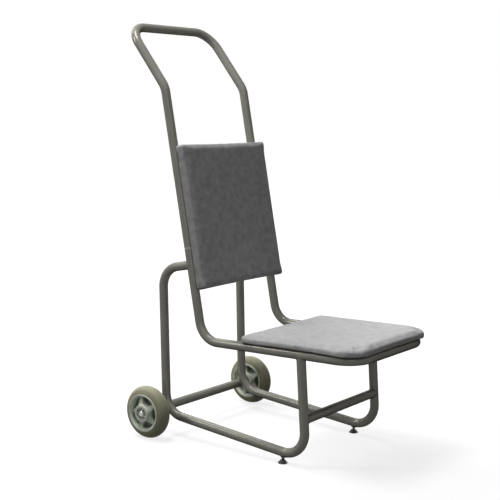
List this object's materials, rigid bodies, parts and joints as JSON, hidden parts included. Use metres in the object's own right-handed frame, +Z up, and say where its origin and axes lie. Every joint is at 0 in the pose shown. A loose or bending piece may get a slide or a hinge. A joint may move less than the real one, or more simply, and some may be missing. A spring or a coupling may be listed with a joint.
{
  "type": "stacking chair trolley",
  "caption": "Chair-shaped hand trolley for moving stacks of chairs: bent tube frame, push handle, padded seat and back, wheels on a rear axle and levelling feet at the front.",
  "frame": {"origin": "on the floor, under the middle of the trolley's width and length", "axes": "+Z up, -Y the way the seat faces, +X to the right as seen from in front of the seat"},
  "size_m": [0.5466, 0.8075, 1.1712],
  "materials": {
    "frame_paint": "silver-grey metallic paint, satin",
    "plain_steel": "turned steel",
    "zinc_steel": "bright zinc plate",
    "bright_cap": "polished",
    "bearing_steel": "ground steel",
    "seal_rubber": "matt",
    "wheel_tyre": "smooth grey rubber, matt",
    "rim_plastic": "moulded, satin",
    "board_wood": "dark stained board",
    "seat_cloth": "grey upholstery cloth",
    "back_cloth": "charcoal upholstery cloth",
    "foot_plastic": "moulded, matt"
  },
  "bodies": {
    "frame": {"handle_hoop": "frame_paint", "seat_hoop": "frame_paint", "left_side_frame": "frame_paint", "right_side_frame": "frame_paint", "front_cross_tube": "frame_paint", "axle_tube": "frame_paint", "seat_tabs": "frame_paint", "back_tabs": "frame_paint", "left_joint_spigot": "plain_steel", "right_joint_spigot": "plain_steel", "left_axle_plug": "plain_steel", "right_axle_plug": "plain_steel", "left_bearing_sleeve": "plain_steel", "right_bearing_sleeve": "plain_steel", "seat_screws": "zinc_steel", "back_screws": "zinc_steel", "axle_rod": "zinc_steel", "left_axle_spacer": "zinc_steel", "right_axle_spacer": "zinc_steel", "axle_washers": "zinc_steel", "left_foot_insert": "zinc_steel", "right_foot_insert": "zinc_steel", "left_cap_nut": "bright_cap", "right_cap_nut": "bright_cap", "left_bearing_inners": "bearing_steel", "right_bearing_inners": "bearing_steel", "seat_board": "board_wood", "back_board": "board_wood", "seat_cushion": "seat_cloth", "back_pad": "back_cloth"},
    "left_wheel": {"left_tyre": "wheel_tyre", "left_rim": "rim_plastic", "left_bearing_outers": "bearing_steel", "left_bearing_balls": "bearing_steel", "left_bearing_seals": "seal_rubber"},
    "right_wheel": {"right_tyre": "wheel_tyre", "right_rim": "rim_plastic", "right_bearing_outers": "bearing_steel", "right_bearing_balls": "bearing_steel", "right_bearing_seals": "seal_rubber"},
    "left_foot_stud": {"left_foot_stud": "plain_steel"},
    "right_foot_stud": {"right_foot_stud": "plain_steel"},
    "left_foot_pad": {"left_foot_pad": "foot_plastic"},
    "right_foot_pad": {"right_foot_pad": "foot_plastic"}
  },
  "joints": [
    {"name": "left_wheel_spin", "type": "hinge", "parent": "frame", "child": "left_wheel", "pos_m": [-0.2385, 0.26126, 0.075], "axis": [1, 0, 0], "continuous": true},
    {"name": "left_foot_screw", "type": "slide", "parent": "frame", "child": "left_foot_stud", "axis": [0, 0.0785, -0.9969], "range_m": [0, 0.008]},
    {"name": "left_foot_swivel", "type": "hinge", "parent": "left_foot_stud", "child": "left_foot_pad", "pos_m": [-0.175, -0.16706, 0.006], "axis": [1, 0, 0], "range_deg": [-8, 8]},
    {"name": "right_wheel_spin", "type": "hinge", "parent": "frame", "child": "right_wheel", "pos_m": [0.2385, 0.26126, 0.075], "axis": [1, 0, 0], "continuous": true},
    {"name": "right_foot_screw", "type": "slide", "parent": "frame", "child": "right_foot_stud", "axis": [0, 0.0785, -0.9969], "range_m": [0, 0.008]},
    {"name": "right_foot_swivel", "type": "hinge", "parent": "right_foot_stud", "child": "right_foot_pad", "pos_m": [0.175, -0.16706, 0.006], "axis": [1, 0, 0], "range_deg": [-8, 8]}
  ]
}
